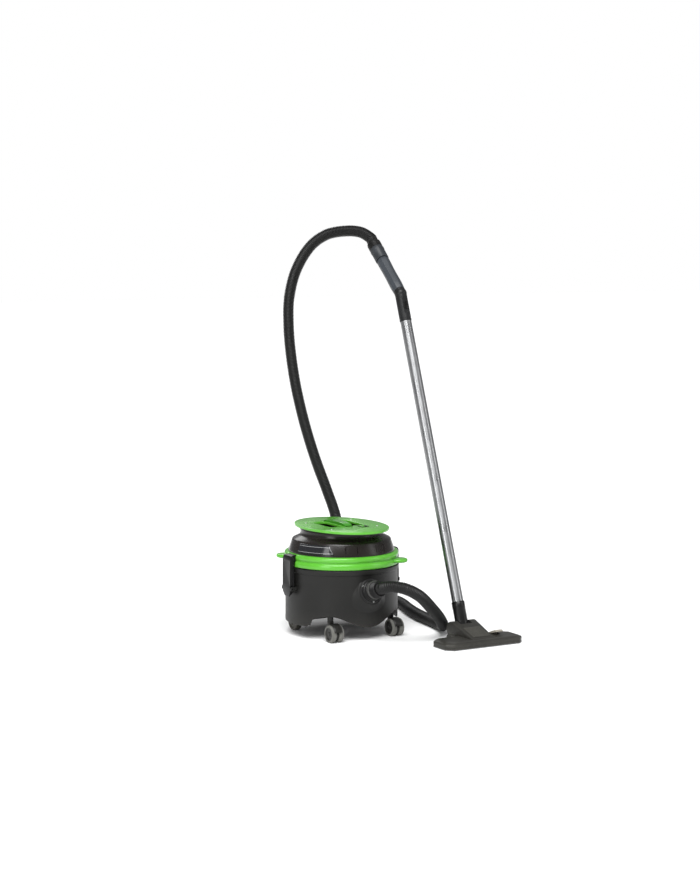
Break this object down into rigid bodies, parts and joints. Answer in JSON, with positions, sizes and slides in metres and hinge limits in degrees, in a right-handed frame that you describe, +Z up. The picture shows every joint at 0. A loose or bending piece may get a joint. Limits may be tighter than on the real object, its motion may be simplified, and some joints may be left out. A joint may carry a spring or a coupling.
{
  "type": "tub vacuum cleaner",
  "caption": "Commercial tub vacuum cleaner: round drum on castors, lift-off motor head with carry plate, corrugated hose, bent hand grip, aluminium wand and floor tool.",
  "frame": {"origin": "on the floor, in the middle of the footprint of the machine with its wand and floor tool", "axes": "+Z up, -Y towards the tub's front (its hose inlet), +X to the side where the wand stands"},
  "size_m": [0.578, 0.8884, 1.2403],
  "materials": {
    "drum_plastic": "charcoal moulded plastic, fine texture",
    "dark_plastic": "black moulded plastic",
    "cover_plastic": "brown-black satin plastic",
    "green_plastic": "bright green glossy plastic",
    "panel_plastic": "black glossy plastic",
    "hose_plastic": "black corrugated plastic",
    "grip_plastic": "blue-grey satin plastic",
    "neck_plastic": "dark grey plastic",
    "tool_plastic": "dark grey plastic",
    "tool_panel": "mid grey ribbed plastic",
    "pedal_plastic": "beige grey plastic",
    "aluminium": "bright drawn tube",
    "steel": "plated steel",
    "hub_plastic": "black plastic",
    "tread_rubber": "light grey soft tread",
    "wheel_rubber": "dark grey",
    "seal_rubber": "black soft rubber",
    "filter_cloth": "off-white felt",
    "motor_steel": "zinc-plated pressing",
    "winding": "varnished copper winding",
    "fan_alloy": "pressed sheet",
    "bristle": "dark nylon bristle"
  },
  "bodies": {
    "tub": {"drum": "drum_plastic", "base_skirt": "drum_plastic", "inlet_fitting": "dark_plastic", "inlet_screws": "steel", "castor_sockets": "dark_plastic", "rear_axle": "steel", "latch_pins": "steel", "hose_cuff_tub": "dark_plastic", "hose": "hose_plastic", "hose_cuff_handle": "dark_plastic", "handle_grip": "grip_plastic", "handle_neck": "neck_plastic", "wand_tube": "aluminium", "nozzle_neck": "tool_plastic"},
    "swivel": {"swivel_sleeve": "grip_plastic"},
    "slider": {"bleed_slider": "dark_plastic"},
    "rear_wheel_l": {"rear_wheel_left": "wheel_rubber"},
    "rear_wheel_r": {"rear_wheel_right": "wheel_rubber"},
    "latch_l": {"latch_left": "dark_plastic"},
    "latch_r": {"latch_right": "dark_plastic"},
    "castor_l": {"castor_yoke_left": "dark_plastic", "castor_axle_left": "steel"},
    "castor_r": {"castor_yoke_right": "dark_plastic", "castor_axle_right": "steel"},
    "castor_wheel_la": {"castor_hub_left_a": "hub_plastic", "castor_tread_left_a": "tread_rubber"},
    "castor_wheel_lb": {"castor_hub_left_b": "hub_plastic", "castor_tread_left_b": "tread_rubber"},
    "castor_wheel_ra": {"castor_hub_right_a": "hub_plastic", "castor_tread_right_a": "tread_rubber"},
    "castor_wheel_rb": {"castor_hub_right_b": "hub_plastic", "castor_tread_right_b": "tread_rubber"},
    "head": {"lid_ring": "green_plastic", "lid_seal": "seal_rubber", "motor_cover": "cover_plastic", "cover_screws": "steel", "top_plate": "green_plastic", "plate_screws": "steel", "label_panel": "panel_plastic", "cable_gland": "seal_rubber", "switch_bezel": "dark_plastic", "motor_can": "motor_steel", "motor_mount": "seal_rubber", "motor_bearings": "steel", "filter_cage": "dark_plastic", "filter_sleeve": "filter_cloth"},
    "rotor": {"motor_shaft": "steel", "armature": "winding", "fan_impeller": "fan_alloy"},
    "switch": {"switch_rocker": "green_plastic"},
    "floor_tool": {"nozzle_housing": "tool_plastic", "sole_plate": "steel", "nozzle_panel": "tool_panel", "nozzle_pins": "steel"},
    "pedal": {"pedal": "pedal_plastic"},
    "brush": {"brush_carrier": "dark_plastic", "brush_strips": "bristle"},
    "nozzle_wheel_l": {"nozzle_wheel_left": "tread_rubber"},
    "nozzle_wheel_r": {"nozzle_wheel_right": "tread_rubber"}
  },
  "joints": [
    {"name": "rear_wheel_l_spin", "type": "hinge", "parent": "tub", "child": "rear_wheel_l", "pos_m": [-0.2115, 0.18725, 0.03], "axis": [1, 0, 0], "continuous": true},
    {"name": "castor_l_swivel", "type": "hinge", "parent": "tub", "child": "castor_l", "pos_m": [-0.20222, -0.01705, 0.06], "axis": [0, 0, 1], "continuous": true},
    {"name": "castor_wheel_la_spin", "type": "hinge", "parent": "castor_l", "child": "castor_wheel_la", "pos_m": [-0.21482, -0.04105, 0.026], "axis": [1, 0, 0], "continuous": true},
    {"name": "castor_wheel_lb_spin", "type": "hinge", "parent": "castor_l", "child": "castor_wheel_lb", "pos_m": [-0.18962, -0.04105, 0.026], "axis": [1, 0, 0], "continuous": true},
    {"name": "latch_l_swing", "type": "hinge", "parent": "tub", "child": "latch_l", "pos_m": [-0.2835, 0.09925, 0.15], "axis": [0, -1, 0], "range_deg": [0, 35]},
    {"name": "rear_wheel_r_spin", "type": "hinge", "parent": "tub", "child": "rear_wheel_r", "pos_m": [0.0165, 0.18725, 0.03], "axis": [1, 0, 0], "continuous": true},
    {"name": "castor_r_swivel", "type": "hinge", "parent": "tub", "child": "castor_r", "pos_m": [0.00722, -0.01705, 0.06], "axis": [0, 0, 1], "continuous": true},
    {"name": "castor_wheel_ra_spin", "type": "hinge", "parent": "castor_r", "child": "castor_wheel_ra", "pos_m": [-0.00538, -0.04105, 0.026], "axis": [1, 0, 0], "continuous": true},
    {"name": "castor_wheel_rb_spin", "type": "hinge", "parent": "castor_r", "child": "castor_wheel_rb", "pos_m": [0.01982, -0.04105, 0.026], "axis": [1, 0, 0], "continuous": true},
    {"name": "latch_r_swing", "type": "hinge", "parent": "tub", "child": "latch_r", "pos_m": [0.0885, 0.09925, 0.15], "axis": [0, 1, 0], "range_deg": [0, 35]},
    {"name": "head_lift", "type": "slide", "parent": "tub", "child": "head", "axis": [0, 0, 1], "range_m": [0, 0.25]},
    {"name": "motor_spin", "type": "hinge", "parent": "head", "child": "rotor", "pos_m": [-0.0975, 0.09925, 0.26], "axis": [0, 0, 1], "continuous": true},
    {"name": "switch_rock", "type": "hinge", "parent": "head", "child": "switch", "pos_m": [-0.0595, 0.03325, 0.323], "axis": [1, 0, 0], "range_deg": [-16, 0]},
    {"name": "swivel_turn", "type": "hinge", "parent": "tub", "child": "swivel", "pos_m": [0.1525, 0.16511, 1.02819], "axis": [0, 0.7314, 0.682], "continuous": true},
    {"name": "bleed_slide", "type": "slide", "parent": "tub", "child": "slider", "axis": [0, 0.342, 0.9397], "range_m": [0, 0.012]},
    {"name": "nozzle_tilt", "type": "hinge", "parent": "tub", "child": "floor_tool", "pos_m": [0.1525, -0.19675, 0.034], "axis": [1, 0, 0], "range_deg": [-20, 50]},
    {"name": "pedal_press", "type": "hinge", "parent": "floor_tool", "child": "pedal", "pos_m": [0.2245, -0.25075, 0.016], "axis": [1, 0, 0], "range_deg": [0, 12]},
    {"name": "brush_drop", "type": "slide", "parent": "floor_tool", "child": "brush", "axis": [0, 0, -1], "range_m": [0, 0.006]},
    {"name": "nozzle_wheel_l_spin", "type": "hinge", "parent": "floor_tool", "child": "nozzle_wheel_l", "pos_m": [0.0945, -0.22225, 0.012], "axis": [1, 0, 0], "continuous": true},
    {"name": "nozzle_wheel_r_spin", "type": "hinge", "parent": "floor_tool", "child": "nozzle_wheel_r", "pos_m": [0.2105, -0.22225, 0.012], "axis": [1, 0, 0], "continuous": true}
  ],
  "couplings": [
    {"joint": "latch_l_swing", "follows": "head_lift", "rad_per_m": 2.413},
    {"joint": "latch_r_swing", "follows": "head_lift", "rad_per_m": 2.413},
    {"joint": "brush_drop", "follows": "pedal_press", "m_per_rad": 0.028648}
  ]
}
